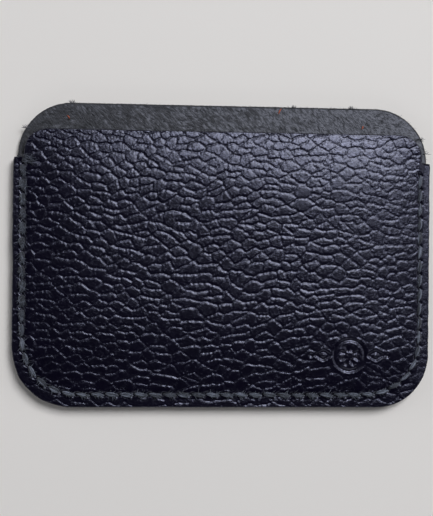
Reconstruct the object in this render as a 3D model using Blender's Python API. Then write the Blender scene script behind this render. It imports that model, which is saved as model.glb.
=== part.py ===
"""Open-top leather card holder: two panels, saddle-stitched together on three sides.

It lies on its back. X runs across the holder, Y from the bottom seam to the open mouth, and Z up out of
the front panel. The origin is the centre of the back panel's outer face. All sizes are in metres.
"""

import math

import bmesh
import bpy
from mathutils import Matrix, Vector

# Driving dimensions of the outline
WIDTH = 0.100
HEIGHT = 0.0722
CORNER_RADIUS = 0.0125
SHOULDER_DROP = 0.0132        # from the back panel's top edge down to the sewn shoulders
BACK_SHOULDER = 0.0009        # how far the back panel narrows above its shoulders
FRONT_SHOULDER = 0.0024       # how far the front panel narrows above its shoulders
FRONT_DROP = 0.00635          # from the back panel's top edge down to the front panel's
FRONT_TOP_RADIUS = 0.0055

# Leather
LEATHER = 0.0016
SEAM_GAP = 0.0003             # between the two panels where they are sewn
POCKET_RISE = 0.0009          # how much further apart they are in the middle of the pocket
RISE_START = 0.0013           # distance inside the seam where the rise begins
RISE_END = 0.0100             # and where it ends
EDGE_BEVEL = 0.00025

# Seam
SIDE_MARGIN = 0.0024          # from a side edge to the stitch line
BOTTOM_MARGIN = 0.0030        # from the bottom edge to the stitch line
SEAM_RADIUS = 0.0130          # of the stitch line in the bottom corners
FIRST_HOLE = 0.0015           # from the left shoulder down to the first hole
LAST_HOLE = 0.0027            # from the right shoulder down to the last hole
STITCH_COUNT = 56
THREAD_RADIUS = 0.0004
STRAND_OFFSET = 0.00025       # of each strand from the middle of a hole
SLIT_ANGLE = math.radians(45)
HOLE_LENGTH = 0.0018
HOLE_WIDTH = 0.0012
HOLE_SIDES = 8
GROOVE_RADIUS = 0.0011
GROOVE_OVERRUN = 0.0009       # of the groove past the first and last holes
FRONT_GROOVE_LIFT = 0.00045   # of the groove's middle above the front face
FRONT_THREAD_LIFT = 0.00005   # of the thread's middle above the front face
BACK_THREAD_DEPTH = 0.00042   # of the thread's middle inside the back face

# Meshing
ARC_STEPS = 12                # straight runs in a quarter circle
RISE_RINGS = 7                # cuts in the slope up from the seam to the pocket
THREAD_ROUNDNESS = 2          # bevel resolution of the round rods
GROOVE_ROUNDNESS = 4
WELD_DISTANCE = 1e-6          # points closer than this are one point
FLAT_ANGLE = math.radians(0.5)     # faces closer to level than this are joined
RIM_ANGLE = math.radians(60)       # an edge sharper than this is a rim to ease

# Worked out from the above
HALF_WIDTH = WIDTH / 2
HALF_HEIGHT = HEIGHT / 2
SHOULDER_Y = HALF_HEIGHT - SHOULDER_DROP
FRONT_FLOOR = LEATHER + SEAM_GAP
FRONT_TOP = FRONT_FLOOR + LEATHER
SEAM_X = HALF_WIDTH - SIDE_MARGIN
SEAM_BOTTOM_Y = -HALF_HEIGHT + BOTTOM_MARGIN
MIDDLE_CUTS_X = (0.0, SEAM_X / 3)            # extra cuts that keep the pocket's triangles compact
MIDDLE_CUTS_Y = (0.0, HALF_HEIGHT / 3)


def clear_scene():
    for obj in list(bpy.data.objects):
        bpy.data.objects.remove(obj, do_unlink=True)


def make_collection(name):
    collection = bpy.data.collections.new(name)
    bpy.context.scene.collection.children.link(collection)
    return collection


def make_material(name, color, roughness):
    material = bpy.data.materials.new(name)
    material.use_nodes = True
    shader = material.node_tree.nodes["Principled BSDF"]
    shader.inputs["Base Color"].default_value = (*color, 1.0)
    shader.inputs["Roughness"].default_value = roughness
    shader.inputs["Metallic"].default_value = 0.0
    return material


def arc(center, radius, start, end, steps=ARC_STEPS):
    """Points on an arc, with the angles in degrees."""
    points = []
    for step in range(steps + 1):
        angle = math.radians(start + (end - start) * step / steps)
        points.append(Vector((center[0] + radius * math.cos(angle), center[1] + radius * math.sin(angle))))
    return points


def panel_outline(top_y, shoulder, top_radius):
    """A panel's outline, anticlockwise: round bottom corners, two shoulders, and a narrower round top."""
    bottom_x = HALF_WIDTH - CORNER_RADIUS
    bottom_y = -HALF_HEIGHT + CORNER_RADIUS
    neck_x = HALF_WIDTH - shoulder
    top_x = neck_x - top_radius
    points = arc((-bottom_x, bottom_y), CORNER_RADIUS, 180, 270)
    points += arc((bottom_x, bottom_y), CORNER_RADIUS, 270, 360)
    points += [Vector((HALF_WIDTH, SHOULDER_Y)), Vector((neck_x, SHOULDER_Y))]
    points += arc((top_x, top_y - top_radius), top_radius, 0, 90)
    points += arc((-top_x, top_y - top_radius), top_radius, 90, 180)
    points += [Vector((-neck_x, SHOULDER_Y)), Vector((-HALF_WIDTH, SHOULDER_Y))]
    return without_repeats(points)


def without_repeats(points):
    kept = []
    for point in points:
        if not kept or (point - kept[-1]).length > WELD_DISTANCE:
            kept.append(point)
    if (kept[0] - kept[-1]).length < WELD_DISTANCE:
        kept.pop()
    return kept


def add_curve(name, splines, cyclic):
    """A curve object with one POLY spline for each list of points."""
    curve = bpy.data.curves.new(name, "CURVE")
    for points in splines:
        spline = curve.splines.new("POLY")
        spline.points.add(len(points) - 1)
        for place, point in zip(spline.points, points):
            place.co = (*point.to_3d(), 1.0)
        spline.use_cyclic_u = cyclic
    obj = bpy.data.objects.new(name, curve)
    bpy.context.scene.collection.objects.link(obj)
    return obj


def to_mesh_object(curve_obj, name, collection):
    """Turn a curve object into a mesh object with its caps welded, and remove the curve."""
    evaluated = curve_obj.evaluated_get(bpy.context.evaluated_depsgraph_get())
    mesh = bpy.data.meshes.new_from_object(evaluated)
    mesh.name = name
    work = bmesh.new()
    work.from_mesh(mesh)
    bmesh.ops.remove_doubles(work, verts=work.verts, dist=WELD_DISTANCE)
    bmesh.ops.recalc_face_normals(work, faces=work.faces)
    bmesh.ops.dissolve_limit(work, angle_limit=FLAT_ANGLE, verts=work.verts, edges=work.edges)
    work.to_mesh(mesh)
    work.free()
    obj = bpy.data.objects.new(name, mesh)
    obj.matrix_world = curve_obj.matrix_world
    bpy.data.objects.remove(curve_obj, do_unlink=True)
    collection.objects.link(obj)
    return obj


def flat_panel(name, outline, floor_z, collection):
    """A flat sheet of leather of the given outline, with eased edges."""
    curve_obj = add_curve(name + "_outline", [outline], cyclic=True)
    curve_obj.data.dimensions = "2D"
    curve_obj.data.fill_mode = "BOTH"
    curve_obj.data.extrude = LEATHER / 2
    curve_obj.location.z = floor_z + LEATHER / 2
    bpy.context.view_layer.update()
    obj = to_mesh_object(curve_obj, name, collection)
    obj.data.transform(Matrix.Translation(obj.location))
    obj.location = (0, 0, 0)
    bevel_rims(obj.data)
    return obj


def bevel_rims(mesh):
    """Ease the two rims, where a flat face meets the cut edge."""
    work = bmesh.new()
    work.from_mesh(mesh)
    rims = []
    for edge in work.edges:
        level = abs(edge.verts[0].co.z - edge.verts[1].co.z) < WELD_DISTANCE
        if level and len(edge.link_faces) == 2 and edge.calc_face_angle() > RIM_ANGLE:
            rims.append(edge)
    bmesh.ops.bevel(work, geom=rims, offset=EDGE_BEVEL, segments=1, affect="EDGES", profile=0.5)
    work.to_mesh(mesh)
    work.free()


def inside_seam(x, y):
    """How far a point is inside the stitch line, which is open at the mouth."""
    across = abs(x) - (SEAM_X - SEAM_RADIUS)
    below = (SEAM_BOTTOM_Y + SEAM_RADIUS) - y
    outer = math.hypot(max(across, 0.0), max(below, 0.0))
    return SEAM_RADIUS - outer - min(max(across, below), 0.0)


def pocket_rise(x, y):
    """How far the front panel stands above its sewn level."""
    share = (inside_seam(x, y) - RISE_START) / (RISE_END - RISE_START)
    share = min(max(share, 0.0), 1.0)
    return POCKET_RISE * share * share * (3 - 2 * share)


def raise_pocket(mesh):
    """Divide the sheet along straight cuts, closest together near the seam, and lift it to shape."""
    spacing = (RISE_END - RISE_START) / (RISE_RINGS - 1)
    rings = [RISE_START + spacing * number for number in range(RISE_RINGS)]
    cuts_x = [SEAM_X - ring for ring in rings] + list(MIDDLE_CUTS_X)
    cuts_y = [SEAM_BOTTOM_Y + ring for ring in rings] + list(MIDDLE_CUTS_Y)
    work = bmesh.new()
    work.from_mesh(mesh)
    for x in sorted(set(cuts_x + [-x for x in cuts_x])):
        cut_sheet(work, Vector((x, 0, 0)), Vector((1, 0, 0)))
    for y in cuts_y:
        cut_sheet(work, Vector((0, y, 0)), Vector((0, 1, 0)))
    for vert in work.verts:
        vert.co.z += pocket_rise(vert.co.x, vert.co.y)
    bmesh.ops.triangulate(work, faces=work.faces)
    work.to_mesh(mesh)
    work.free()


def cut_sheet(work, point, normal):
    geometry = list(work.verts) + list(work.edges) + list(work.faces)
    bmesh.ops.bisect_plane(work, geom=geometry, plane_co=point, plane_no=normal)


def seam_path(overrun, corner_steps):
    """The stitch line, from the left shoulder down, along the bottom and up to the right shoulder.

    It goes past the first and last holes by the overrun.
    """
    corner_x = SEAM_X - SEAM_RADIUS
    corner_y = SEAM_BOTTOM_Y + SEAM_RADIUS
    points = [Vector((-SEAM_X, SHOULDER_Y - FIRST_HOLE + overrun))]
    points += arc((-corner_x, corner_y), SEAM_RADIUS, 180, 270, corner_steps)
    points += arc((corner_x, corner_y), SEAM_RADIUS, 270, 360, corner_steps)
    points.append(Vector((SEAM_X, SHOULDER_Y - LAST_HOLE + overrun)))
    return without_repeats(points)


def spaced_along(path, count):
    """count + 1 evenly spaced places on the path, each with its direction."""
    lengths = [(b - a).length for a, b in zip(path, path[1:])]
    pitch = sum(lengths) / count
    places = []
    run, travelled = 0, 0.0
    for number in range(count + 1):
        wanted = min(number * pitch, sum(lengths) - 1e-9)
        while travelled + lengths[run] < wanted:
            travelled += lengths[run]
            run += 1
        direction = (path[run + 1] - path[run]).normalized()
        places.append((path[run] + direction * (wanted - travelled), direction))
    return places


def slit_direction(direction):
    """The long way of a stitch hole, slanted across the stitch line."""
    return Matrix.Rotation(SLIT_ANGLE, 3, "Z") @ direction.to_3d()


def strand_points(holes, rises_first):
    """One half of the thread: it changes face at every hole, and both its ends stop inside a hole."""
    top_z = FRONT_TOP + FRONT_THREAD_LIFT
    bottom_z = BACK_THREAD_DEPTH
    middle_z = (top_z + bottom_z) / 2
    points = []
    for number, (place, direction) in enumerate(holes):
        rises = (number % 2 == 0) == rises_first
        side = STRAND_OFFSET if rises else -STRAND_OFFSET
        here = place.to_3d() + slit_direction(direction) * side
        comes_from = middle_z if number == 0 else (bottom_z if rises else top_z)
        goes_to = middle_z if number == len(holes) - 1 else (top_z if rises else bottom_z)
        points.append(here + Vector((0, 0, comes_from)))
        points.append(here + Vector((0, 0, goes_to)))
    return points


def add_strand(name, holes, rises_first, collection):
    curve_obj = add_curve(name + "_path", [strand_points(holes, rises_first)], cyclic=False)
    curve_obj.data.dimensions = "3D"
    curve_obj.data.bevel_depth = THREAD_RADIUS
    curve_obj.data.bevel_resolution = THREAD_ROUNDNESS
    curve_obj.data.use_fill_caps = True
    bpy.context.view_layer.update()
    return to_mesh_object(curve_obj, name, collection)


def add_thread(holes, material, parts, cutters):
    """The sewing thread: its two halves pass each other, pressed together, in every hole."""
    thread = add_strand("seam_thread", holes, True, parts)
    other_half = add_strand("second_half", holes, False, cutters)
    hide_cutter(other_half)
    add_boolean(thread, other_half, "UNION")
    thread.data.materials.append(material)
    thread.data.shade_smooth()


def add_groove_cutter(name, center_z, collection):
    """A rod along the stitch line, which cuts the channel that the stitches lie in."""
    path = seam_path(GROOVE_OVERRUN, ARC_STEPS // 2)
    curve_obj = add_curve(name + "_path", [path], cyclic=False)
    curve_obj.data.dimensions = "3D"
    curve_obj.data.bevel_depth = GROOVE_RADIUS
    curve_obj.data.bevel_resolution = GROOVE_ROUNDNESS
    curve_obj.data.use_fill_caps = True
    curve_obj.location.z = center_z
    bpy.context.view_layer.update()
    return hide_cutter(to_mesh_object(curve_obj, name, collection))


def add_hole_cutter(name, holes, collection):
    """Slanted oval pins, one at each stitch hole."""
    work = bmesh.new()
    for place, direction in holes:
        slit = slit_direction(direction)
        turn = Matrix.Rotation(math.atan2(slit.y, slit.x), 4, "Z")
        stretch = Matrix.Diagonal((HOLE_LENGTH / 2, HOLE_WIDTH / 2, 1.0, 1.0))
        bmesh.ops.create_cone(
            work,
            cap_ends=True,
            segments=HOLE_SIDES,
            radius1=1.0,
            radius2=1.0,
            depth=4 * FRONT_TOP,
            matrix=Matrix.Translation(place.to_3d()) @ turn @ stretch,
        )
    mesh = bpy.data.meshes.new(name)
    work.to_mesh(mesh)
    work.free()
    obj = bpy.data.objects.new(name, mesh)
    collection.objects.link(obj)
    return hide_cutter(obj)


def hide_cutter(obj):
    obj.hide_render = True
    obj.display_type = "WIRE"
    return obj


def add_boolean(target, cutter, operation):
    modifier = target.modifiers.new(cutter.name, "BOOLEAN")
    modifier.object = cutter
    modifier.operation = operation
    modifier.solver = "EXACT"


def add_back_panel(material, hole_cutter, parts, cutters):
    """The tall panel, grain side down, whose flesh side shows above the front panel."""
    outline = panel_outline(HALF_HEIGHT, BACK_SHOULDER, CORNER_RADIUS)
    panel = flat_panel("back_panel", outline, 0.0, parts)
    add_boolean(panel, add_groove_cutter("back_groove_cutter", 0.0, cutters), "DIFFERENCE")
    add_boolean(panel, hole_cutter, "DIFFERENCE")
    panel.data.materials.append(material)


def add_front_panel(material, hole_cutter, parts, cutters):
    """The lower panel, grain side up, raised over the pocket."""
    outline = panel_outline(HALF_HEIGHT - FRONT_DROP, FRONT_SHOULDER, FRONT_TOP_RADIUS)
    panel = flat_panel("front_panel", outline, FRONT_FLOOR, parts)
    raise_pocket(panel.data)
    groove_z = FRONT_TOP + FRONT_GROOVE_LIFT
    add_boolean(panel, add_groove_cutter("front_groove_cutter", groove_z, cutters), "DIFFERENCE")
    add_boolean(panel, hole_cutter, "DIFFERENCE")
    panel.data.materials.append(material)


def main():
    clear_scene()
    parts = make_collection("card_holder")
    cutters = make_collection("cutters")
    grain_leather = make_material("black_pebbled_leather", (0.012, 0.012, 0.018), 0.42)
    flesh_leather = make_material("charcoal_flesh_leather", (0.030, 0.031, 0.032), 0.85)
    waxed_thread = make_material("waxed_black_thread", (0.025, 0.027, 0.034), 0.60)

    stitch_line = seam_path(0.0, 2 * ARC_STEPS)
    holes = spaced_along(stitch_line, STITCH_COUNT)
    hole_cutter = add_hole_cutter("stitch_hole_cutter", holes, cutters)
    add_back_panel(flesh_leather, hole_cutter, parts, cutters)
    add_front_panel(grain_leather, hole_cutter, parts, cutters)
    add_thread(holes, waxed_thread, parts, cutters)


main()
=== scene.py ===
"""Looks of the card holder: pebbled leather, napped flesh side, cut edges and waxed saddle stitches.

Shapes are worked out in millimetres and scaled to metres when a mesh is made. The grain side, the flesh
side and the cut edge of each leather panel are one closed mesh with three materials.
"""

import math
from collections import namedtuple

import bpy
import numpy as np
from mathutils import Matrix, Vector


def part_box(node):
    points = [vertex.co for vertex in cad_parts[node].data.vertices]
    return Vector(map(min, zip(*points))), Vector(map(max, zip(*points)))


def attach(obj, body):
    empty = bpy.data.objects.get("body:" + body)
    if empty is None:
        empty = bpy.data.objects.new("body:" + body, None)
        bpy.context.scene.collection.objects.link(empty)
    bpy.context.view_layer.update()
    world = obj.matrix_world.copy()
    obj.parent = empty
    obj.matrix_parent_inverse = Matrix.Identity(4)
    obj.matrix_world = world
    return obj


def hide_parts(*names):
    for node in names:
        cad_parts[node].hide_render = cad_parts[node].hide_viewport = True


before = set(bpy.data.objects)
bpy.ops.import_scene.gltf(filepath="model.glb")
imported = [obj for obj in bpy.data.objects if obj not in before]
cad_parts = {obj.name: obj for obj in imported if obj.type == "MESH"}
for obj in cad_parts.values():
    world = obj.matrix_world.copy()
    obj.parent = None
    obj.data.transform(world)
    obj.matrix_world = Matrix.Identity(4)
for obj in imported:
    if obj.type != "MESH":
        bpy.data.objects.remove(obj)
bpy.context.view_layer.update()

MM = 0.001
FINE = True

# ---------------------------------------------------------------- sizes, from the frame where it has them

BACK_BOX = [np.array(corner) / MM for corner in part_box("back_panel")]
FRONT_BOX = [np.array(corner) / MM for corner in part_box("front_panel")]
HALF_WIDTH = BACK_BOX[1][0]
HALF_HEIGHT = BACK_BOX[1][1]
MOUTH_Y = FRONT_BOX[1][1]
SEAM_LEVEL = 3.5                      # top of the front panel where it is sewn
PLATEAU = FRONT_BOX[1][2]             # top of the front panel over the pocket
BACK_THICK = 1.72
SHEET_GAP = 0.02                      # between the two panels, where they are sewn
FRONT_THICK = SEAM_LEVEL - BACK_THICK - SHEET_GAP
SHOULDER_Y = HALF_HEIGHT - 13.2
EDGE_ROUND = 0.22                     # how far the cut edge is eased

SEAM_X = HALF_WIDTH - 2.4
SEAM_BOTTOM = -HALF_HEIGHT + 3.0
SEAM_RADIUS = 13.0
SEAM_TOP = SHOULDER_Y - 1.5           # the first hole, on the left
SEAM_TOP_RIGHT = SHOULDER_Y - 2.7     # the last hole
STITCHES = 56
SLIT_ANGLE = math.radians(45)

# ---------------------------------------------------------------- noise and grain

PEBBLE_SIZE = (3.9, 2.85)             # across the sheet and up it
PEBBLE_ROW_SHARE = 0.66
PEBBLE_JITTER = 0.43
CORNER_ROUND = 0.14                   # how far the corners of pebbles are rounded
CREASE_WIDTH = 0.14
CREASE_DEPTH = 0.12
DOME_REACH = 0.62                     # a pebble is rounded off this near to a crease
DOME_DROP = 0.105
TONE_STEP = 0.05                      # how much the tops of pebbles differ in height
RIM_GAP, RIM_SPREAD = 0.30, 0.35      # where a pebble's wrinkled rim is, from the crease
WRINKLE_SIZE = (0.90, 1.5)
WRINKLE_WIDTH = 0.15


def smooth_step(value, low, high):
    """0 up to low, 1 from high on, and a smooth change between."""
    share = np.clip((value - low) / (high - low), 0, 1)
    return share * share * (3 - 2 * share)


def lattice_noise(x, y, cell, seed):
    """Smooth noise between -1 and 1 whose features are about one cell across."""
    size = 97
    table = np.random.default_rng(seed).uniform(-1, 1, (size, size))
    u, v = x / cell + 31.4, y / cell + 17.7
    column, row = np.floor(u).astype(int), np.floor(v).astype(int)
    fu, fv = u - column, v - row
    fu, fv = fu * fu * (3 - 2 * fu), fv * fv * (3 - 2 * fv)
    left, right = column % size, (column + 1) % size
    low, high = row % size, (row + 1) % size
    below = table[left, low] * (1 - fu) + table[right, low] * fu
    above = table[left, high] * (1 - fu) + table[right, high] * fu
    return below * (1 - fv) + above * fv


def crease_net(x, y, cell_x, cell_y, row_share, jitter, steep_share, width, seed):
    """Creases between scattered pebbles: (crease depth from 0 to 1, gap to the creases, pebble's tone).

    Rows of pebbles are row_share of a cell apart, so a small share gives lens shapes. A crease that runs
    across the sheet is deep, and one that runs up it has steep_share of that depth. The gap is in mm,
    rounded at the corners of pebbles, and shallow creases count less in it.
    """
    rng = np.random.default_rng(seed)
    size = 128
    shift_u = rng.uniform(-1, 1, (size, size))
    shift_v = rng.uniform(-1, 1, (size, size)) * 0.75 * row_share
    tones = rng.random((size, size))
    u, v = x / cell_x + 40.0, y / cell_y + 40.0
    row = np.floor(v / row_share).astype(int)
    seeds = []
    for d_row in range(-2, 3):
        near_row = row + d_row
        stagger = 0.5 * (near_row % 2)
        column = np.floor(u - stagger).astype(int)
        for d_column in range(-2, 3):
            near_column = column + d_column
            key = near_column % size, near_row % size
            seed_u = near_column + stagger + 0.5 + jitter * shift_u[key]
            seed_v = (near_row + 0.5) * row_share + jitter * shift_v[key]
            seeds.append((seed_u, seed_v, tones[key]))
    nearest = np.full(x.shape, np.inf)
    own_u, own_v, own_tone = np.zeros(x.shape), np.zeros(x.shape), np.zeros(x.shape)
    for seed_u, seed_v, tone in seeds:
        reach = (u - seed_u) ** 2 + (v - seed_v) ** 2
        closer = reach < nearest
        nearest = np.where(closer, reach, nearest)
        own_u, own_v = np.where(closer, seed_u, own_u), np.where(closer, seed_v, own_v)
        own_tone = np.where(closer, tone, own_tone)
    depth = np.zeros(x.shape)
    closeness = np.zeros(x.shape)
    for seed_u, seed_v, tone in seeds:
        across_u, across_v = seed_u - own_u, seed_v - own_v
        apart = np.hypot(across_u, across_v)
        other = apart > 1e-6
        apart = np.where(other, apart, 1.0)
        normal_x, normal_y = across_u / apart / cell_x, across_v / apart / cell_y
        slope = np.where(other, np.hypot(normal_x, normal_y), 1.0)
        reach = (u - seed_u) ** 2 + (v - seed_v) ** 2
        distance = np.where(other, np.maximum((reach - nearest) / (2 * apart) / slope, 0.0), 9.0)
        level = steep_share + (1 - steep_share) * np.abs(normal_y / slope) ** 3
        closeness += level * np.exp(-distance / CORNER_ROUND)
        strength = level * (0.55 + 0.45 * ((own_tone + tone) % 1.0))
        depth += (strength * np.exp(-((distance / width) ** 1.3))) ** 3
    gap = np.maximum(-CORNER_ROUND * np.log(closeness), 0.0)
    return np.cbrt(depth), gap, own_tone


def pebble_grain(x, y, seed):
    """Coarse pebbled grain: (height in mm, about 0 at the tops; how much of a crease or rim it is, 0 to 1).

    The hide differs over the sheet: its rows lie level on the left, its pebbles are tight towards the
    upper right, soft lower on the right, and flatter towards the lower left.
    """
    level = 1 - smooth_step(x, -42.0, -8.0)
    tight = smooth_step(0.6 * x + y, 0.0, 48.0)
    soft = smooth_step(x, 4.0, 38.0) * smooth_step(-y, -27.0, -16.0)
    flat = smooth_step(-0.45 * x - y, -5.0, 42.0)
    flow_x = x + 1.6 * lattice_noise(x, y, 8.0, seed + 1) + 0.26 * lattice_noise(x, y, 1.2, seed + 2)
    drift = 2.2 * lattice_noise(x, y * 0.6, 19.0, seed + 3)
    drift += 0.5 * lattice_noise(x, y * 0.7, 7.0, seed + 4)
    flow_y = y + (1 - 0.75 * level) * drift + 0.22 * lattice_noise(x, y, 1.1, seed + 8)
    jitter = PEBBLE_JITTER - 0.13 * level
    steep_share = 0.30 - 0.14 * level + 0.25 * tight + 0.20 * soft
    main, gap, tone = crease_net(flow_x, flow_y, *PEBBLE_SIZE, PEBBLE_ROW_SHARE, jitter, steep_share,
                                 CREASE_WIDTH - 0.02 * tight, seed + 5)
    small, _, _ = crease_net(flow_x + 7.7, flow_y + 3.1, *WRINKLE_SIZE, 1.0, 0.45, 1.0, WRINKLE_WIDTH,
                             seed + 6)
    main = main * (0.80 + 0.35 * lattice_noise(flow_x / 6, flow_y, 1.6, seed + 9))
    dome = 1 - np.clip(1 - gap / DOME_REACH, 0, 1) ** 2
    rim = np.exp(-((gap - RIM_GAP) / RIM_SPREAD) ** 2)
    height = -(CREASE_DEPTH - 0.11 * soft) * main + TONE_STEP * (tone - 0.5)
    height += (DOME_DROP - 0.055 * tight - 0.035 * flat) * (dome - 1)
    height -= small * (0.012 + 0.05 * rim)
    grit = 0.030 * lattice_noise(x, y, 0.45, seed + 7) + 0.020 * lattice_noise(x, y, 0.30, seed + 10)
    height += grit * (0.16 + 0.95 * rim)
    return height, np.clip(0.25 * main + 0.75 * rim, 0, 1)


# ---------------------------------------------------------------- outlines and surfaces

Side = namedtuple("Side", "corner cut neck")        # corner radius, how faceted it is, inset of the neck
Outline = namedtuple("Outline", "left right top top_radius inset")

BACK = Outline(Side(13.9, 0.35, 1.0), Side(12.6, 0.1, 0.65), HALF_HEIGHT, 12.7, 0.0)
FRONT = Outline(Side(13.9, 0.35, 2.45), Side(12.6, 0.1, 2.05), MOUTH_Y, 5.5, 0.0)
CUT_ANGLES = np.radians([0, 32, 62, 90])            # where a hand-cut corner turns
WOBBLE_FADE = 3.0                                   # the edge is true this near to the bottom and top
COARSE_STEP = 1.2                                   # between rows that are hidden in the pocket


def edge_distance(outline, side, sign, y):
    """How far the edge is from the middle of the panel, at height y."""
    inset = outline.inset
    full, bottom, top = HALF_WIDTH - inset, -HALF_HEIGHT + inset, outline.top - inset
    corner, neck = side.corner - inset, HALF_WIDTH - side.neck - inset
    top_radius = outline.top_radius - inset
    reach = np.where(y <= SHOULDER_Y - inset, full, neck)
    below = np.clip(bottom + corner - y, 0, corner)
    round_part = np.sqrt(corner**2 - below**2)
    facets = np.interp(below, corner * np.sin(CUT_ANGLES), corner * np.cos(CUT_ANGLES))
    reach = np.where(below > 0, full - corner + round_part * (1 - side.cut) + facets * side.cut, reach)
    above = np.clip(y - top + top_radius, 0, top_radius)
    reach = np.where(above > 0, neck - top_radius + np.sqrt(top_radius**2 - above**2), reach)
    wobble = 0.10 * lattice_noise(y, np.full(y.shape, sign * 5.0), 6.0, 11)
    wobble += 0.05 * lattice_noise(y, np.full(y.shape, sign * 3.0), 1.4, 12)
    wobble *= np.clip((y - bottom) / WOBBLE_FADE, 0, 1) * np.clip((top - y) / WOBBLE_FADE, 0, 1)
    return reach + wobble


def row_heights(outline, step, coarse_below=-math.inf):
    """Heights of a grid's rows, close together where a corner is nearly level, and coarse below a height."""
    inset = outline.inset
    bottom, top = -HALF_HEIGHT + inset, outline.top - inset
    corner = max(outline.left.corner, outline.right.corner) - inset
    top_radius = outline.top_radius - inset
    shoulder = SHOULDER_Y - inset
    quarter = math.pi / 2
    turns = max(int(corner * quarter / step), 8)
    heights = [bottom + corner * (1 - math.cos(quarter * k / turns)) for k in range(turns)]
    heights += list(np.arange(bottom + corner, shoulder - step / 2, step)) + [shoulder]
    heights += list(np.arange(shoulder + step, top - top_radius, step))
    turns = max(int(top_radius * quarter / step), 8)
    heights += [top - top_radius + top_radius * math.sin(quarter * k / turns) for k in range(turns + 1)]
    heights = sorted(set(round(h, 5) for h in heights))
    kept = [heights[0]]
    for height in heights[1:]:
        if height > coarse_below or height - kept[-1] >= COARSE_STEP:
            kept.append(height)
    return np.array(kept)


def clipped_grid(outline, rows, step):
    """A grid cut to the outline: (points, faces as lists of 3 or 4 indices)."""
    columns = np.linspace(-HALF_WIDTH, HALF_WIDTH, int(2 * HALF_WIDTH / step) + 1)
    x = np.repeat(columns[None, :], len(rows), axis=0)
    y = np.repeat(rows[:, None], len(columns), axis=1)
    right = edge_distance(outline, outline.right, 1, rows)[:, None]
    left = edge_distance(outline, outline.left, -1, rows)[:, None]
    x = np.clip(x, -left, right)
    keys = np.round(np.stack([x.ravel(), y.ravel()], axis=1), 4)
    points, index = np.unique(keys, axis=0, return_inverse=True)
    index = index.reshape(x.shape)
    quads = np.stack([index[:-1, :-1], index[:-1, 1:], index[1:, 1:], index[1:, :-1]], axis=-1)
    quads = quads.reshape(-1, 4)
    distinct = (quads != np.roll(quads, 1, axis=1)).sum(axis=1)
    faces = quads[distinct == 4].tolist()
    for quad in quads[distinct == 3].tolist():
        faces.append([v for k, v in enumerate(quad) if v != quad[k - 1]])
    return points, faces


def boundary_loop(faces):
    """The outer edge of an open mesh, as vertex indices in the order the faces turn."""
    seen = set()
    for face in faces:
        for k, start in enumerate(face):
            seen.add((start, face[(k + 1) % len(face)]))
    following = {start: end for start, end in seen if (end, start) not in seen}
    first = next(iter(following))
    loop = [first]
    while following[loop[-1]] != first:
        loop.append(following[loop[-1]])
    return loop


def zip_loops(outer, inner, points):
    """Triangles between two closed loops that run the same way, one inside the other."""
    start = int(np.argmin(np.linalg.norm(points[inner] - points[outer[0]], axis=1)))
    inner = inner[start:] + inner[:start]
    faces = []
    i, j = 0, 0
    while i < len(outer) or j < len(inner):
        a, b = outer[i % len(outer)], inner[j % len(inner)]
        next_a, next_b = outer[(i + 1) % len(outer)], inner[(j + 1) % len(inner)]
        step_outer = np.sum((points[next_a] - points[b]) ** 2)
        step_inner = np.sum((points[next_b] - points[a]) ** 2)
        if j >= len(inner) or (i < len(outer) and step_outer <= step_inner):
            faces.append([a, next_a, b])
            i += 1
        else:
            faces.append([a, next_b, b])
            j += 1
    return faces


def loop_normals(points):
    """Outward directions in the sheet's plane, along an anticlockwise loop."""
    along = np.roll(points, -2, axis=0) - np.roll(points, 2, axis=0)
    normals = np.stack([along[:, 1], -along[:, 0]], axis=1)
    return normals / np.maximum(np.linalg.norm(normals, axis=1, keepdims=True), 1e-9)


def mesh_object(name, points, faces, materials, face_materials, shade):
    """A smooth-shaded mesh object from points in millimetres. The materials read each point's shade."""
    mesh = bpy.data.meshes.new(name)
    mesh.from_pydata((points * MM).tolist(), [], faces)
    for material in materials:
        mesh.materials.append(material)
    mesh.polygons.foreach_set("material_index", np.asarray(face_materials, np.int32))
    attribute = mesh.attributes.new("shade", "FLOAT", "POINT")
    attribute.data.foreach_set("value", np.asarray(shade, np.float32))
    mesh.shade_smooth()
    mesh.validate()
    obj = bpy.data.objects.new(name, mesh)
    bpy.context.scene.collection.objects.link(obj)
    return obj


GRAIN, FLESH, EDGE = 0, 1, 2                                     # places in a panel's list of materials
RIM_PROFILE = [(0.12, -0.05), (0.19, -0.13), (0.22, -0.26)]      # outward and down, from the grain side
EDGE_SHARES = (0.3, 0.55, 0.8)                                   # rings between, as shares of the way down
FOOT_PROFILE = [(0.22, 0.30), (0.17, 0.10), (0.06, 0.01)]        # outward and up, from the flesh side
ROUGH_RINGS = range(2, 7)
ROUGHNESS = 0.05


def cut_edge_rings(loop_xy, rim_z, foot_z):
    """Rings of points from the edge of the grain side to the edge of the flesh side, roughly cut."""
    outward = loop_normals(loop_xy)
    rings = [(out, rim_z + up) for out, up in RIM_PROFILE]
    rings += [(EDGE_ROUND, rim_z * (1 - share) + foot_z * share) for share in EDGE_SHARES]
    rings += [(out, foot_z + up) for out, up in FOOT_PROFILE]
    points = []
    for number, (out, z) in enumerate(rings):
        rough = 0.0
        if number in ROUGH_RINGS:
            around = loop_xy[:, 0] * 3 + loop_xy[:, 1] * 2
            rough = ROUGHNESS * lattice_noise(around, z * 4, 1.0, 50 + number)
        ring_xy = loop_xy + outward * np.reshape(out + rough, (-1, 1))
        points.append(np.column_stack([ring_xy, z]))
    return points


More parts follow.
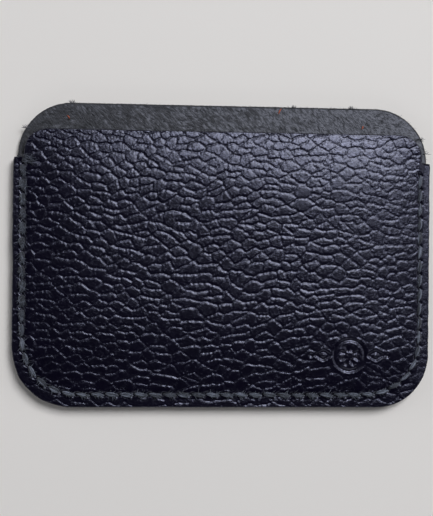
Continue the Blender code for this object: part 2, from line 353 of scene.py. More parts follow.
def leather_panel(name, outline, sides, grain_step, flesh_grid, materials, level, face_down):
    """A closed sheet of leather, with grain_step between the grid lines of its grain side.

    The two sides are functions of x and y that give the grain side's and the flesh side's (height, shade),
    in a frame with the grain side up and the flesh side at about 0. The flesh side ends up at level, and
    face_down turns the sheet over.
    """
    grain_side, flesh_side = sides
    top_outline = outline._replace(inset=EDGE_ROUND)
    top_xy, top_faces = clipped_grid(top_outline, row_heights(top_outline, grain_step), grain_step)
    top_z, top_crease = grain_side(top_xy[:, 0], top_xy[:, 1])
    points = [np.column_stack([top_xy, top_z])]
    shades = [top_crease]
    faces = list(top_faces)
    kinds = [GRAIN] * len(faces)
    previous = boundary_loop(top_faces)
    loop_xy, rim_z = top_xy[previous], top_z[previous]
    foot_z, _ = flesh_side(loop_xy[:, 0], loop_xy[:, 1])
    total, count = len(top_xy), len(previous)
    for number, ring_points in enumerate(cut_edge_rings(loop_xy, rim_z, foot_z)):
        points.append(ring_points)
        shades.append(np.zeros(count))
        ring = list(range(total, total + count))
        total += count
        for k in range(count):
            after = (k + 1) % count
            faces.append([previous[after], previous[k], ring[k], ring[after]])
        kinds += [GRAIN if number == 0 else EDGE] * count
        previous = ring
    low_xy, low_faces = flesh_grid
    low_z, low_shade = flesh_side(low_xy[:, 0], low_xy[:, 1])
    points.append(np.column_stack([low_xy, low_z]))
    shades.append(low_shade)
    low_loop = [v + total for v in boundary_loop(low_faces)]
    all_points = np.concatenate(points)
    bridge = zip_loops(previous, low_loop, all_points)
    faces += [face[::-1] for face in bridge]
    kinds += [FLESH] * len(bridge)
    faces += [[v + total for v in face][::-1] for face in low_faces]
    kinds += [FLESH] * len(low_faces)
    if face_down:
        all_points[:, 2] = -all_points[:, 2]
        faces = [face[::-1] for face in faces]
    all_points[:, 2] += level
    return mesh_object(name, all_points, faces, materials, kinds, np.concatenate(shades))


# ---------------------------------------------------------------- the stitch line

CHANNEL_HALF_WIDTH = 0.75
PIT_HALF_LENGTH, PIT_HALF_WIDTH = 0.66, 0.32
PIT_REACH = 2.0                      # a pit leaves the leather alone beyond this
FRONT_PIT, FRONT_CHANNEL = 0.65, 0.16
BACK_PIT, BACK_CHANNEL = 0.75, 0.45


def inside_seam(x, y):
    """How far a point is inside the stitch line, which is open at the mouth."""
    across = np.abs(x) - (SEAM_X - SEAM_RADIUS)
    below = (SEAM_BOTTOM + SEAM_RADIUS) - y
    outer = np.hypot(np.maximum(across, 0), np.maximum(below, 0))
    return SEAM_RADIUS - outer - np.minimum(np.maximum(across, below), 0)


def seam_places():
    """The stitch holes, down the left side, along the bottom and up the right.

    Each is x, y, and the seam's direction there.
    """
    left_run = SEAM_TOP - (SEAM_BOTTOM + SEAM_RADIUS)
    right_run = SEAM_TOP_RIGHT - (SEAM_BOTTOM + SEAM_RADIUS)
    turn = SEAM_RADIUS * math.pi / 2
    bottom = 2 * (SEAM_X - SEAM_RADIUS)
    total = left_run + right_run + 2 * turn + bottom
    places = []
    for number in range(STITCHES + 1):
        s = number * total / STITCHES
        if s <= left_run:
            places.append((-SEAM_X, SEAM_TOP - s, 0.0, -1.0))
        elif s <= left_run + turn:
            angle = (s - left_run) / SEAM_RADIUS
            places.append((-SEAM_X + SEAM_RADIUS * (1 - math.cos(angle)),
                           SEAM_BOTTOM + SEAM_RADIUS * (1 - math.sin(angle)),
                           math.sin(angle), -math.cos(angle)))
        elif s <= left_run + turn + bottom:
            places.append((-SEAM_X + SEAM_RADIUS + s - left_run - turn, SEAM_BOTTOM, 1.0, 0.0))
        elif s <= left_run + 2 * turn + bottom:
            angle = (s - left_run - turn - bottom) / SEAM_RADIUS
            places.append((SEAM_X - SEAM_RADIUS * (1 - math.sin(angle)),
                           SEAM_BOTTOM + SEAM_RADIUS * (1 - math.cos(angle)),
                           math.cos(angle), math.sin(angle)))
        else:
            places.append((SEAM_X, SEAM_TOP_RIGHT - (total - s), 0.0, 1.0))
    return places


HOLES = seam_places()


def slit_direction(place):
    """The long way of a stitch hole, slanted across the stitch line."""
    cos, sin = math.cos(SLIT_ANGLE), math.sin(SLIT_ANGLE)
    return place[2] * cos - place[3] * sin, place[2] * sin + place[3] * cos


def tightness(x):
    """How tightly the stitches are pulled, from 0 to 1 at the right-hand side."""
    return smooth_step(x, 30, 46)


def seam_sink(x, y, pit_depth, channel_depth):
    """How far the stitches pull the leather down: a channel, with a slanted pit at each hole."""
    lateral = inside_seam(x, y)
    sewn = smooth_step(np.where(x < 0, SEAM_TOP, SEAM_TOP_RIGHT) + 1.0 - y, 0.0, 1.0)
    channel = np.exp(-((lateral / CHANNEL_HALF_WIDTH) ** 2))
    sink = channel_depth * (1 - 0.6 * tightness(x)) * channel * sewn
    for place in HOLES:
        near = (np.abs(x - place[0]) < PIT_REACH) & (np.abs(y - place[1]) < PIT_REACH)
        long_x, long_y = slit_direction(place)
        dx, dy = x[near] - place[0], y[near] - place[1]
        along = dx * long_x + dy * long_y
        across = dy * long_x - dx * long_y
        sink[near] += pit_depth * np.exp(-((along / PIT_HALF_LENGTH) ** 2) - (across / PIT_HALF_WIDTH) ** 2)
    return sink


# ---------------------------------------------------------------- the blind-stamped ornament

STAMP_CENTER = (30.5, -23.5)
STAMP_DEPTH = 0.26
STROKE_HALF_WIDTH = 0.42
LIP_HEIGHT, LIP_DISTANCE, LIP_SPREAD = 0.05, 0.75, 0.3       # the leather pushed up beside a stroke
RING_RADIUS = 3.7
RAY_TURN = math.pi / 4               # between the rays inside the ring
RAY = [(1.3, 0.0), (2.1, 0.0)]
LOZENGES = ((6.4, 1.7, 0.95), (9.3, 0.15, 0.15))     # distance from the middle, half sizes


def stroke_distance(x, y, points):
    """Distance to a line through the points."""
    nearest = np.full(x.shape, np.inf)
    for (ax, ay), (bx, by) in zip(points, points[1:]):
        span_x, span_y = bx - ax, by - ay
        share = np.clip(((x - ax) * span_x + (y - ay) * span_y) / (span_x**2 + span_y**2), 0, 1)
        nearest = np.minimum(nearest, np.hypot(x - ax - share * span_x, y - ay - share * span_y))
    return nearest


def stamp_distance(x, y):
    """Distance to the ornament's strokes: eight rays in a ring, with a lozenge and a dot on each side."""
    px, py = np.abs(x - STAMP_CENTER[0]), np.abs(y - STAMP_CENTER[1])
    radius = np.hypot(px, py)
    turn = np.mod(np.arctan2(py, px), RAY_TURN) - RAY_TURN / 2
    nearest = np.abs(radius - RING_RADIUS)
    nearest = np.minimum(nearest, stroke_distance(radius * np.cos(turn), radius * np.sin(turn), RAY))
    for center, half_width, half_height in LOZENGES:
        outline = [(center - half_width, 0), (center, half_height), (center + half_width, 0)]
        nearest = np.minimum(nearest, stroke_distance(px, py, outline))
    return nearest


# ---------------------------------------------------------------- the faces of the two panels

SWELL_REACH = 22.0                   # from the seam to where the front is fully swollen
MOUTH_REACH = 16.0                   # the front drops again this near to its mouth
BACK_CLEARANCE = 0.02                # keeps the tops of the back's pebbles above the floor


def pocket_bulge(x, y):
    """How far the front panel swells over the empty pocket; it drops again towards the mouth."""
    swell = 1 - np.clip(1 - inside_seam(x, y) / SWELL_REACH, 0, 1) ** 2
    swell = np.where(inside_seam(x, y) > 0, swell, 0)
    drop = 0.95 * np.clip((y - (MOUTH_Y - MOUTH_REACH)) / MOUTH_REACH, 0, 1) ** 2
    return (PLATEAU - SEAM_LEVEL) * swell * (1 - drop)


def front_grain(x, y):
    """Grain side of the front panel: (height, dullness). The right margin is worn dull."""
    inside = inside_seam(x, y)
    margin_fall = (0.34 + 0.12 * smooth_step(x, 44, 48)) * smooth_step(-inside, -0.3, 1.2)
    grain, crease = pebble_grain(x, y, 400)
    distance = stamp_distance(x, y)
    pressed = np.exp(-((distance / STROKE_HALF_WIDTH) ** 4))
    flattened = smooth_step(2.2 - distance, 0.0, 1.6)
    margin = smooth_step(-inside, -0.2, 1.0)
    left_margin = margin * smooth_step(-x, SEAM_X - 2, SEAM_X + 0.5)
    right_margin = margin * smooth_step(x, SEAM_X - 2, SEAM_X + 0.5)
    amount = 1 - 0.7 * left_margin - 0.6 * right_margin - 0.3 * margin
    amount = np.maximum(amount, 0.4) * (1 - 0.45 * flattened) * (1 - 0.8 * pressed)
    lip = LIP_HEIGHT * np.exp(-(((distance - LIP_DISTANCE) / LIP_SPREAD) ** 2))
    height = FRONT_THICK + pocket_bulge(x, y) - margin_fall + grain * amount
    height -= seam_sink(x, y, FRONT_PIT, FRONT_CHANNEL) + STAMP_DEPTH * pressed - lip
    return height, np.maximum(crease * amount, 0.7 * right_margin)


def front_flesh(x, y):
    """Flesh side of the front panel, which is dished over the pocket."""
    return pocket_bulge(x, y) * smooth_step(inside_seam(x, y), 0.6, 2.0), np.full(x.shape, 0.5)


def back_grain(x, y):
    """Grain side of the back panel, in a frame with that side up: (height, dullness)."""
    grain, crease = pebble_grain(x, y, 900)
    margin_fall = 0.12 * smooth_step(-inside_seam(x, y), 0.4, 2.6)
    sink = seam_sink(x, y, BACK_PIT, BACK_CHANNEL)
    return BACK_THICK + grain - margin_fall - sink - BACK_CLEARANCE, crease


NAP_TURNS = (-0.80, -0.20)           # the two directions in which patches of the nap lie


def nap_patch(x, y):
    """Which way the nap of the flesh side lies: 0 for the first direction, 1 for the second."""
    return smooth_step(lattice_noise(x, y, 6.0, 21), -0.35, 0.35)


def streaks(x, y, length, width, seed):
    """Noise drawn out along the nap."""
    drawn = []
    for turn in NAP_TURNS:
        along = x * math.cos(turn) + y * math.sin(turn)
        across = y * math.cos(turn) - x * math.sin(turn)
        drawn.append(lattice_noise(along / length, across / width, 1.0, seed))
    patch = nap_patch(x, y)
    return drawn[0] * (1 - patch) + drawn[1] * patch


def back_flesh(x, y):
    """Flesh side of the back panel, a brushed and slightly uneven nap: (height, lightness). The lightness
    has painted light in it, rising towards the right.
    """
    shows = np.maximum(smooth_step(y, MOUTH_Y - 0.8, MOUTH_Y + 0.3),
                       smooth_step(np.abs(x), HALF_WIDTH - 2.9, HALF_WIDTH - 2.1))
    brushed = 0.6 * streaks(x, y, 0.8, 0.28, 22) + 0.4 * streaks(x, y, 1.4, 0.45, 24)
    nap = 0.09 * brushed + 0.035 * lattice_noise(x, y, 0.45, 25)
    height = nap * shows * smooth_step(y, 22, 24)
    height += 0.05 * lattice_noise(x, y, 7.0, 23) * smooth_step(y, 30, 33)
    # painted light: the nap's lightness rises towards the right, where the window lights it more
    return height, 0.65 + 0.6 * brushed + 0.36 * x / HALF_WIDTH


# ---------------------------------------------------------------- tubes: thread strands and loose fibres

STITCH_STEPS = 13                    # points along a stitch
STITCH_HALF_HEIGHT = 0.22
STITCH_DEPTH = 0.60                  # how far the ends of a front stitch go down into their holes
BACK_STITCH_DEPTH = 0.5
STRANDS = 8
LOCK_STRANDS = 7
FUZZ_RADII = [0.060, 0.050, 0.020]
NAP_RADII = np.array([0.034, 0.030, 0.014])
LINT_RADII = [0.10, 0.16, 0.06]

# Where tufts stick out past the edge: x, y, heading
TUFTS = [(-36.2, HALF_HEIGHT, 1.6), (16.5, HALF_HEIGHT, 1.4), (31.0, HALF_HEIGHT, 1.5), (-46.8, 30.1, 2.6),
         (47.5, 29.0, 0.5), (48.9, 25.6, 0.3)]
# Where lint is caught in the nap: x, y, heading, length
LINT = [(13.0, 34.4, 1.1, 1.5), (33.4, 31.1, 1.2, 0.9), (-37.0, 32.3, 2.2, 0.9), (-46.6, 24.2, 1.5, 0.6)]


class TubeSet:
    """Collects closed tubes and makes one mesh of them."""

    def __init__(self):
        self.points, self.faces, self.shades, self.total = [], [], [], 0

    def add(self, path, radii, sides, shade=0.5):
        """A tube round a path, with one radius or a radius for each point."""
        path = np.asarray(path, float)
        radii = np.broadcast_to(np.asarray(radii, float), (len(path),))
        along = np.gradient(path, axis=0)
        along /= np.maximum(np.linalg.norm(along, axis=1, keepdims=True), 1e-9)
        helper = np.array([0.0, 0.0, 1.0]) if abs(along[0][2]) < 0.8 else np.array([1.0, 0.0, 0.0])
        side = np.cross(along[0], helper)
        frames = []
        for direction in along:
            side = side - direction * np.dot(side, direction)
            side /= max(np.linalg.norm(side), 1e-9)
            frames.append((side, np.cross(direction, side)))
        angles = np.arange(sides) * 2 * math.pi / sides
        rings = [center + radius * (np.cos(angles)[:, None] * a + np.sin(angles)[:, None] * b)
                 for center, radius, (a, b) in zip(path, radii, frames)]
        base = self.total
        self.points.append(np.concatenate(rings))
        self.shades.append(np.full(sides * len(path), shade))
        self.total += sides * len(path)
        for ring in range(len(path) - 1):
            for k in range(sides):
                a, b = base + ring * sides + k, base + ring * sides + (k + 1) % sides
                self.faces.append([a, b, b + sides, a + sides])
        self.faces.append([base + k for k in range(sides)][::-1])
        self.faces.append([self.total - sides + k for k in range(sides)])

    def make(self, name, material):
        points = np.concatenate(self.points)
        return mesh_object(name, points, self.faces, [material], [0] * len(self.faces),
                           np.concatenate(self.shades))


def flat_direction(heading):
    """The direction in the sheet's plane with this heading."""
    return np.array([math.cos(heading), math.sin(heading), 0.0])


def stitch_line(start, end, level, depth, loose=0.0):
    """Middle line of one stitch: out of a hole, over the surface, and into the next hole.

    It starts on the inner side of one hole and ends on the outer side of the next, and a loose one the
    other way round.
    """
    before, after = np.array(start[:2]), np.array(end[:2])
    ahead, inward = np.array(start[2:]), np.array([-start[3], start[2]])
    a = before + ahead * (0.21 + 0.12 * loose) + inward * (0.21 - 0.42 * loose)
    b = after - ahead * (0.21 + 0.32 * loose) - inward * (0.21 - 0.33 * loose)
    shares = np.linspace(0, 1, STITCH_STEPS)[:, None]
    arch = np.sin(shares[:, 0] * math.pi) ** 0.6
    return np.column_stack([a * (1 - shares) + b * shares, level - depth * (1 - arch)])


def lay_strands(tubes, rng, line, half_width, loose=0.0):
    """Parallel strands of thread over a middle line, light and dark, pinched together at both ends, over a
    dark core of painted shade.
    """
    along = np.gradient(line, axis=0)
    along /= np.linalg.norm(along, axis=1, keepdims=True)
    across = np.cross(along, [0.0, 0.0, 1.0])
    across /= np.maximum(np.linalg.norm(across, axis=1, keepdims=True), 1e-9)
    upward = np.cross(across, along)
    shares = np.linspace(0, 1, len(line))
    full = 0.22 + 0.78 * np.sin(shares ** (1 - 0.4 * loose) * math.pi) ** 0.9
    for strand in range(STRANDS):
        side = -1 + 2 * (strand + rng.uniform(0, 1)) / STRANDS + rng.uniform(-0.6, 0.6) * (shares - 0.5)
        reach = rng.uniform(0.6, 1.25)
        crown = np.sqrt(np.clip(1 - side**2, 0.05, 1))
        path = line + across * (side * half_width * full)[:, None]
        path += upward * (crown * STITCH_HALF_HEIGHT * reach * full)[:, None]
        radii = rng.uniform(0.11, 0.19) * (0.45 + 0.55 * full)
        # painted shade: the loose stitches on the left are made darker, where less light falls on them
        lightness = (0.13 + 0.87 * rng.beta(0.6, 0.8)) * (1 - 0.4 * loose)
        tubes.add(path, radii, 5, lightness)
    # a dark core under the strands: painted shade that shows in the gaps between them
    tubes.add(line, STITCH_HALF_HEIGHT * full, 8, 0.05)


def sew_front(material):
    """The stitches on the front, with the loose lock strands over the left shoulder."""
    rng = np.random.default_rng(71)
    tubes = TubeSet()
    fuzz = TubeSet()
    for start, end in zip(HOLES, HOLES[1:]):
        tight = tightness(start[0])
        loose = smooth_step(-start[0], 36, 46) * (0.25 + 0.75 * smooth_step(start[1], -24, -8))
        half_width = (0.44 + 0.32 * loose - 0.04 * tight) * (1 + loose * rng.uniform(-0.25, 0.15))
        line = stitch_line(start, end, SEAM_LEVEL + 0.02 - 0.10 * tight, STITCH_DEPTH, loose)
        lay_strands(tubes, rng, line, half_width, loose)
        for _ in range(int(28 + 14 * loose - 22 * tight)):
            fuzz_from(fuzz, rng, line, half_width)
    lock_strands(tubes, fuzz, rng)
    return tubes.make("stitches_front", material), fuzz.make("thread_fuzz", material)


def fuzz_from(fuzz, rng, line, radius):
    """One fine fibre that has come loose from a stitch."""
    spot = rng.integers(2, len(line) - 3)
    at, ahead = line[spot], line[spot + 1] - line[spot]
    turn = rng.uniform(0, math.pi)
    root = at + flat_direction(turn) * radius * rng.uniform(-0.9, 0.9)
    root[2] = at[2] + 0.20
    heading = math.atan2(ahead[1], ahead[0]) + rng.normal(0, 0.6)
    run = flat_direction(heading) * rng.uniform(0.4, 1.5)
    bend = np.array([-run[1], run[0], 0.0]) * rng.uniform(-0.5, 0.5)
    middle = root + run * 0.5 + bend * 0.5 + [0, 0, 0.14]
    end = root + run + bend + [0, 0, rng.uniform(-0.05, 0.2)]
    fuzz.add([root, middle, end], FUZZ_RADII, 3, rng.uniform(0.4, 1.0))


def smooth_path(corners, steps):
    """A rounded line through the given points."""
    corners = np.asarray(corners, float)
    padded = [2 * corners[0] - corners[1], *corners, 2 * corners[-1] - corners[-2]]
    path = []
    for k in range(1, len(padded) - 2):
        before, a, b, after = padded[k - 1:k + 3]
        for t in np.arange(steps) / steps:
            path.append(0.5 * (2 * a + (b - before) * t + (2 * before - 5 * a + 4 * b - after) * t**2
                               + (3 * a - before - 3 * b + after) * t**3))
    path.append(corners[-1])
    return np.array(path)


def lock_strands(tubes, fuzz, rng):
    """The thread's start: strands from round the back panel's edge, over the left shoulder."""
    neck = -HALF_WIDTH + BACK.left.neck
    for number in range(LOCK_STRANDS):
        y = SHOULDER_Y + 0.40 - 0.25 * number
        reach = rng.uniform(-0.9, 0.1)
        corners = [(neck - 0.10, y + 0.05, 0.5), (neck - 0.08, y, 1.72), (neck + 0.7, y, 2.2),
                   (neck + 1.35, y - 0.05, 3.55), (neck + 2.2, y - 0.12, 3.78),
                   (neck + 3.3 + reach, y - 0.32, 3.66), (neck + 4.1 + reach, y - 0.5, 3.1)]
        corners = [np.array(corner) + rng.normal(0, 0.07, 3) for corner in corners]
        path = smooth_path(corners, 4)
        tubes.add(path, rng.uniform(0.07, 0.12), 6, rng.beta(0.5, 0.6))
        for _ in range(6):
            fuzz_from(fuzz, rng, path[8:], 0.25)


def sew_back(material):
    """The stitches on the back, flush in their channel."""
    rng = np.random.default_rng(72)
    tubes = TubeSet()
    for start, end in zip(HOLES, HOLES[1:]):
        line = stitch_line(start, end, 0.0, BACK_STITCH_DEPTH)
        line[:, 2] = 0.48 - line[:, 2]
        lay_strands(tubes, rng, line, 0.40)
    return tubes.make("stitches_back", material)


def nap_fibres(material):
    """Short fibres lying on the flesh side above the mouth, and a few that stick out past the edge."""
    rng = np.random.default_rng(81)
    fibres = TubeSet()
    top = BACK._replace(inset=0.3)
    wanted = 2600 if FINE else 500
    placed = 0
    while placed < wanted:
        x, y = rng.uniform(-HALF_WIDTH, HALF_WIDTH), rng.uniform(SHOULDER_Y + 0.5, HALF_HEIGHT - 0.3)
        side, sign = (top.right, 1) if x > 0 else (top.left, -1)
        reach = float(edge_distance(top, side, sign, np.array([y]))[0])
        if abs(x) > reach or (y < MOUTH_Y - 1 and abs(x) < HALF_WIDTH - 9):
            continue
        patch = float(nap_patch(np.array([x]), np.array([y]))[0])
        heading = NAP_TURNS[round(patch)] + rng.normal(0, 0.5)
        add_fibre(fibres, rng, x, y, heading, rng.uniform(0.4, 1.3), 0.05)
        placed += 1
    for x, y, heading in TUFTS:
        for _ in range(16):
            add_fibre(fibres, rng, x + rng.normal(0, 0.4), y - 0.25, heading + rng.normal(0, 0.6),
                      rng.uniform(0.5, 1.0), 0.0, 2.0)
    for _ in range(150):
        x = rng.uniform(-37, 37)
        heading = math.pi / 2 + rng.normal(0, 0.7)
        add_fibre(fibres, rng, x, HALF_HEIGHT - 0.2, heading, rng.uniform(0.2, 0.5), 0.0)
    return fibres.make("nap_fibres", material)


def add_fibre(fibres, rng, x, y, heading, length, lift, thick=1.0):
    """One bent fibre that lies on the back panel's flesh side, lifted in its middle."""
    run = flat_direction(heading) * length
    bend = np.array([-run[1], run[0], 0.0]) * rng.uniform(-0.35, 0.35)
    root = np.array([x, y, BACK_THICK + 0.01])
    middle = root + run * 0.5 + bend * 0.6 + [0, 0, rng.uniform(0.02, 0.07) + lift]
    fibres.add([root, middle, root + run + bend + [0, 0, 0.03]], NAP_RADII * thick, 3)


def lint_flecks(material):
    """A few orange lint specks caught in the nap."""
    rng = np.random.default_rng(91)
    flecks = TubeSet()
    for x, y, heading, length in LINT:
        run = flat_direction(heading) * length
        root = np.array([x, y, BACK_THICK + 0.10])
        middle = root + run * 0.5 + [rng.uniform(-0.1, 0.1), rng.uniform(-0.1, 0.1), 0.10]
        flecks.add([root, middle, root + run], LINT_RADII, 6)
    return flecks.make("lint_flecks", material)


# ---------------------------------------------------------------- materials


class Nodes:
    """Shortcuts for building one material."""

    def __init__(self, name):
        self.material = bpy.data.materials.new(name)
        self.material.use_nodes = True
        self.tree = self.material.node_tree
        self.shader = self.tree.nodes["Principled BSDF"]

    def add(self, kind, **settings):
        """A new node with these properties set."""
        node = self.tree.nodes.new(kind)
        for key, value in settings.items():
            setattr(node, key, value)
        return node

    def link(self, source, target):
        self.tree.links.new(source, target)

    def coordinates(self, stretch=(1, 1, 1), turn=0.0):
        """Places on the object, for textures drawn out by stretch along axes turned round Z."""
        place = self.add("ShaderNodeTexCoord")
        mapping = self.add("ShaderNodeMapping", vector_type="TEXTURE")
        mapping.inputs["Scale"].default_value = stretch
        mapping.inputs["Rotation"].default_value = (0, 0, turn)
        self.link(place.outputs["Object"], mapping.inputs["Vector"])
        return mapping.outputs["Vector"]

    def noise(self, vector, size, detail=3.0, roughness=0.5):
        """Noise whose features are about size across, in metres."""
        node = self.add("ShaderNodeTexNoise")
        node.inputs["Scale"].default_value = 1 / size
        node.inputs["Detail"].default_value = detail
        node.inputs["Roughness"].default_value = roughness
        self.link(vector, node.inputs["Vector"])
        return node.outputs["Fac"]

    def cells(self, vector, size):
        """Distance to the edges of scattered cells that are about size across, in metres."""
        node = self.add("ShaderNodeTexVoronoi", feature="DISTANCE_TO_EDGE")
        node.inputs["Scale"].default_value = 1 / size
        self.link(vector, node.inputs["Vector"])
        return node.outputs["Distance"]

    def ramp(self, value, stops):
        """A colour for each value, from stops of (position, colour)."""
        node = self.add("ShaderNodeValToRGB")
        elements = node.color_ramp.elements
        elements[0].position, elements[0].color = stops[0][0], (*stops[0][1], 1)
        elements[1].position, elements[1].color = stops[-1][0], (*stops[-1][1], 1)
        for position, color in stops[1:-1]:
            elements.new(position).color = (*color, 1)
        self.link(value, node.inputs["Fac"])
        return node.outputs["Color"]

    def spread(self, value, low, high, top=1.0):
        """Values from 0 to top spread between low and high."""
        node = self.add("ShaderNodeMapRange")
        node.inputs["From Min"].default_value = 0.0
        node.inputs["From Max"].default_value = top
        node.inputs["To Min"].default_value = low
        node.inputs["To Max"].default_value = high
        self.link(value, node.inputs["Value"])
        return node.outputs["Result"]

    def scaled(self, value, factor):
        node = self.add("ShaderNodeMath", operation="MULTIPLY")
        self.link(value, node.inputs[0])
        node.inputs[1].default_value = factor
        return node.outputs["Value"]

    def combined(self, operation, a, b):
        node = self.add("ShaderNodeMath", operation=operation)
        self.link(a, node.inputs[0])
        self.link(b, node.inputs[1])
        return node.outputs["Value"]

    def blend(self, *shares):
        """The sum of values, from pairs of (value, its share)."""
        total = self.scaled(*shares[0])
        for value, share in shares[1:]:
            total = self.combined("ADD", total, self.scaled(value, share))
        return total

    def attribute(self, name):
        return self.add("ShaderNodeAttribute", attribute_name=name).outputs["Fac"]

    def bump(self, height, distance, strength, below=None):
        """A relief of this distance in metres, on top of the one below."""
        node = self.add("ShaderNodeBump")
        node.inputs["Distance"].default_value = distance
        node.inputs["Strength"].default_value = strength
        self.link(height, node.inputs["Height"])
        if below is not None:
            self.link(below, node.inputs["Normal"])
        return node.outputs["Normal"]


def pebbled_leather():
    """Black full-grain leather under a thin glossy finish. Its shade is how dull and grainy a point is."""
    n = Nodes("pebbled_leather")
    where = n.coordinates()
    dullness = n.attribute("shade")
    blotch = n.noise(where, 0.006, 4.0)
    fine = n.noise(where, 0.0005, 3.0, 0.6)
    color = n.ramp(n.blend((blotch, 0.6), (fine, 0.4)),
                   [(0.3, (0.0014, 0.0009, 0.0044)), (0.7, (0.0028, 0.0018, 0.0076))])
    n.link(color, n.shader.inputs["Base Color"])
    roughness = n.combined("ADD", n.spread(fine, 0.17, 0.25), n.scaled(dullness, 0.10))
    n.link(roughness, n.shader.inputs["Roughness"])
    pores = n.bump(n.spread(n.cells(where, 0.00055), 0.0, 1.0, 0.16), 0.00002, 0.6)
    grains = n.combined("MULTIPLY", n.noise(where, 0.00024, 2.0, 0.6), dullness)
    relief = n.bump(n.noise(where, 0.00040, 3.0, 0.65), 0.00002, 0.6, pores)
    n.link(n.bump(grains, 0.00005, 1.0, relief), n.shader.inputs["Normal"])
    n.shader.inputs["Specular Tint"].default_value = (0.75, 0.77, 1.0, 1)
    n.shader.inputs["Specular IOR Level"].default_value = 0.48
    n.shader.inputs["Coat Weight"].default_value = 0.30
    n.shader.inputs["Coat Roughness"].default_value = 0.25
    return n.material


def flesh_leather():
    """The napped flesh side: charcoal, matt, with brushed fibres."""
    n = Nodes("flesh_side_leather")
    brushed = n.coordinates((3.3, 1.0, 1.0), NAP_TURNS[0])
    plain = n.coordinates()
    fibre = n.noise(brushed, 0.00035, 4.0, 0.65)
    cloud = n.noise(plain, 0.0035, 4.0)
    # the shade read here carries painted light: on the back panel it is lighter towards the right
    lightness = n.blend((fibre, 0.42), (cloud, 0.18), (n.attribute("shade"), 0.4))
    color = n.ramp(lightness, [(0.34, (0.014, 0.014, 0.014)), (0.50, (0.050, 0.051, 0.055)),
                               (0.66, (0.160, 0.163, 0.178))])
    n.link(color, n.shader.inputs["Base Color"])
    n.link(n.spread(fibre, 0.48, 0.62), n.shader.inputs["Roughness"])
    coarse = n.bump(fibre, 0.00035, 0.8)
    n.link(n.bump(n.noise(plain, 0.00022, 3.0, 0.7), 0.00014, 0.8, coarse), n.shader.inputs["Normal"])
    n.shader.inputs["Sheen Weight"].default_value = 0.25
    n.shader.inputs["Sheen Roughness"].default_value = 0.5
    n.shader.inputs["Sheen Tint"].default_value = (0.8, 0.85, 1.0, 1)
    return n.material


def edge_leather():
    """The cut edge: dyed, fibrous and dull."""
    n = Nodes("cut_edge_leather")
    where = n.coordinates((1.0, 1.0, 0.25))
    fibre = n.noise(where, 0.0005, 5.0, 0.7)
    color = n.ramp(fibre, [(0.3, (0.006, 0.006, 0.008)), (0.72, (0.030, 0.029, 0.031))])
    n.link(color, n.shader.inputs["Base Color"])
    n.link(n.spread(fibre, 0.62, 0.9), n.shader.inputs["Roughness"])
    n.link(n.bump(fibre, 0.00025, 0.8), n.shader.inputs["Normal"])
    return n.material


def waxed_thread():
    """Dark blue-grey waxed thread. The shade is each strand's lightness."""
    n = Nodes("waxed_thread")
    where = n.coordinates()
    fine = n.noise(where, 0.00030, 4.0, 0.7)
    broad = n.noise(where, 0.0016, 3.0)
    lightness = n.blend((fine, 0.3), (broad, 0.2), (n.attribute("shade"), 0.5))
    color = n.ramp(lightness, [(0.28, (0.008, 0.009, 0.013)), (0.50, (0.038, 0.044, 0.055)),
                               (0.74, (0.185, 0.205, 0.245))])
    n.link(color, n.shader.inputs["Base Color"])
    n.link(n.spread(fine, 0.5, 0.8), n.shader.inputs["Roughness"])
    n.link(n.bump(fine, 0.00012, 0.9), n.shader.inputs["Normal"])
    n.shader.inputs["Sheen Weight"].default_value = 0.2
    return n.material


def plain_fibre(name, dark, light, roughness):
    """Dyed fibre that varies between two colours."""
    n = Nodes(name)
    n.link(n.ramp(n.noise(n.coordinates(), 0.0012, 2.0), [(0.35, dark), (0.65, light)]),
           n.shader.inputs["Base Color"])
    n.shader.inputs["Roughness"].default_value = roughness
    return n.material


# ---------------------------------------------------------------- camera, light and floor, in metres

CAMERA_AIM = (-0.00164, -0.00045, 0.002)
CAMERA_DISTANCE = 0.300
CAMERA_TURNS = (0.34, -5.05, 0.59)                  # degrees about X, Y and Z
CAMERA_LENS = 87.35                                 # mm

# Name, place, size and power of each light; all aim at the middle of the holder
LIGHTS = [
    ("window", (0.407, 0.610, 1.150), (0.52, 0.72), 14.9),
    ("window_far", (-0.32, 0.85, 0.95), (0.70, 0.50), 0.8),
    ("wall_left", (-1.0, 0.20, 0.36), (1.6, 0.50), 3.0),
    ("wall_right", (1.0, 0.15, 0.60), (1.2, 0.4), 2.0),
    ("wall_near", (0, -1.0, 0.32), (1.6, 0.50), 2.2),
]
LIGHT_COLOR = (0.86, 0.89, 1.0)
SKY_COLOR = (0.60, 0.66, 1.0, 1)
SKY_STRENGTH = 0.010
FLOOR_SIZE = 4.0
FLOOR_LEVEL = -0.0002                               # clear of the lowest pebbles
FLOOR_COLOR = (0.89, 0.84, 0.735, 1)


def add_camera():
    """Nearly straight above, leaning a few degrees to the holder's left."""
    data = bpy.data.cameras.new("camera")
    data.sensor_width = 36.0
    data.lens = CAMERA_LENS
    data.clip_start = 0.01
    camera = bpy.data.objects.new("camera", data)
    camera.rotation_euler = [math.radians(angle) for angle in CAMERA_TURNS]
    back = camera.rotation_euler.to_matrix().col[2]
    camera.location = [CAMERA_AIM[k] + back[k] * CAMERA_DISTANCE for k in range(3)]
    bpy.context.scene.collection.objects.link(camera)
    bpy.context.scene.camera = camera


def add_area_light(name, place, size, power):
    """A rectangular light that faces the origin."""
    data = bpy.data.lights.new(name, "AREA")
    data.shape = "RECTANGLE"
    data.size, data.size_y = size
    data.energy = power
    data.color = LIGHT_COLOR
    light = bpy.data.objects.new(name, data)
    light.location = place
    light.rotation_mode = "QUATERNION"
    light.rotation_quaternion = (-Vector(place)).to_track_quat("-Z", "Y")
    bpy.context.scene.collection.objects.link(light)


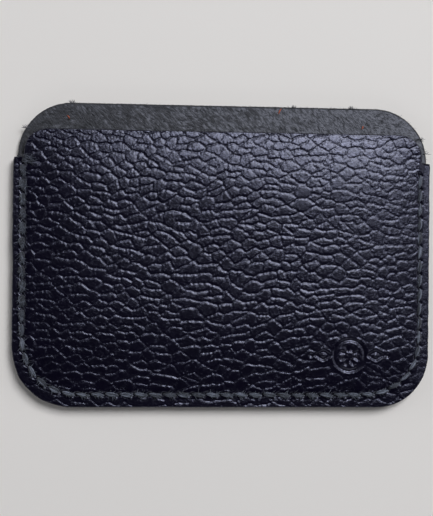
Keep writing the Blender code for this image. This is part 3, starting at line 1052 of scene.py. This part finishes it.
def add_light():
    """A soft window towards the mouth of the holder, and dimmer walls low on the other sides."""
    world = bpy.data.worlds.new("world")
    world.use_nodes = True
    background = world.node_tree.nodes["Background"]
    background.inputs["Color"].default_value = SKY_COLOR
    background.inputs["Strength"].default_value = SKY_STRENGTH
    bpy.context.scene.world = world
    for light in LIGHTS:
        add_area_light(*light)


def add_floor():
    """A plain pale floor."""
    bpy.ops.mesh.primitive_plane_add(size=FLOOR_SIZE, location=(0, 0, FLOOR_LEVEL))
    floor = bpy.context.object
    floor.name = "floor"
    n = Nodes("floor")
    n.shader.inputs["Base Color"].default_value = FLOOR_COLOR
    n.shader.inputs["Roughness"].default_value = 0.75
    floor.data.materials.append(n.material)


# ---------------------------------------------------------------- the holder


def ride(piece, slot, *nodes):
    """Put a piece on the holder's one body, in place of CAD nodes. The slot is not used."""
    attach(piece, "root")
    if nodes:
        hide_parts(*nodes)


def add_panels():
    """The two leather panels. Only what shows of the back's flesh side has a fine grid."""
    leather = [pebbled_leather(), flesh_leather(), edge_leather()]
    grain_step = 0.2 if FINE else 0.4

    hidden = FRONT._replace(inset=1.2)
    front_low = clipped_grid(hidden, row_heights(hidden, 1.5), 1.5)
    front = leather_panel("front_leather", FRONT, (front_grain, front_flesh), grain_step, front_low,
                          leather, BACK_THICK + SHEET_GAP, False)
    ride(front, "pebbled_leather", "front_panel")

    strip = BACK._replace(inset=0.5)
    flesh_rows = row_heights(strip, 0.2, coarse_below=SHOULDER_Y - 1.5)
    back_low = clipped_grid(strip, flesh_rows, 0.25)
    back = leather_panel("back_leather", BACK, (back_grain, back_flesh), grain_step * 1.35, back_low,
                         leather, BACK_THICK, True)
    ride(back, "flesh_side_leather", "back_panel")


def add_thread():
    """The seam's stitches on both faces, with their fuzz."""
    thread = waxed_thread()
    stitches, fuzz = sew_front(thread)
    ride(stitches, "waxed_thread", "seam_thread")
    ride(fuzz, "waxed_thread")
    ride(sew_back(thread), "waxed_thread")


def add_nap():
    """Loose fibres and lint on the flesh side above the mouth."""
    nap = plain_fibre("nap_fibre", (0.012, 0.012, 0.013), (0.150, 0.150, 0.155), 0.8)
    ride(nap_fibres(nap), "flesh_side_leather")
    lint = plain_fibre("orange_lint", (0.30, 0.055, 0.02), (0.55, 0.13, 0.05), 0.7)
    ride(lint_flecks(lint), "flesh_side_leather")


add_camera()
add_light()
add_floor()
bpy.context.scene.view_settings.view_transform = "Standard"
add_panels()
add_thread()
add_nap()
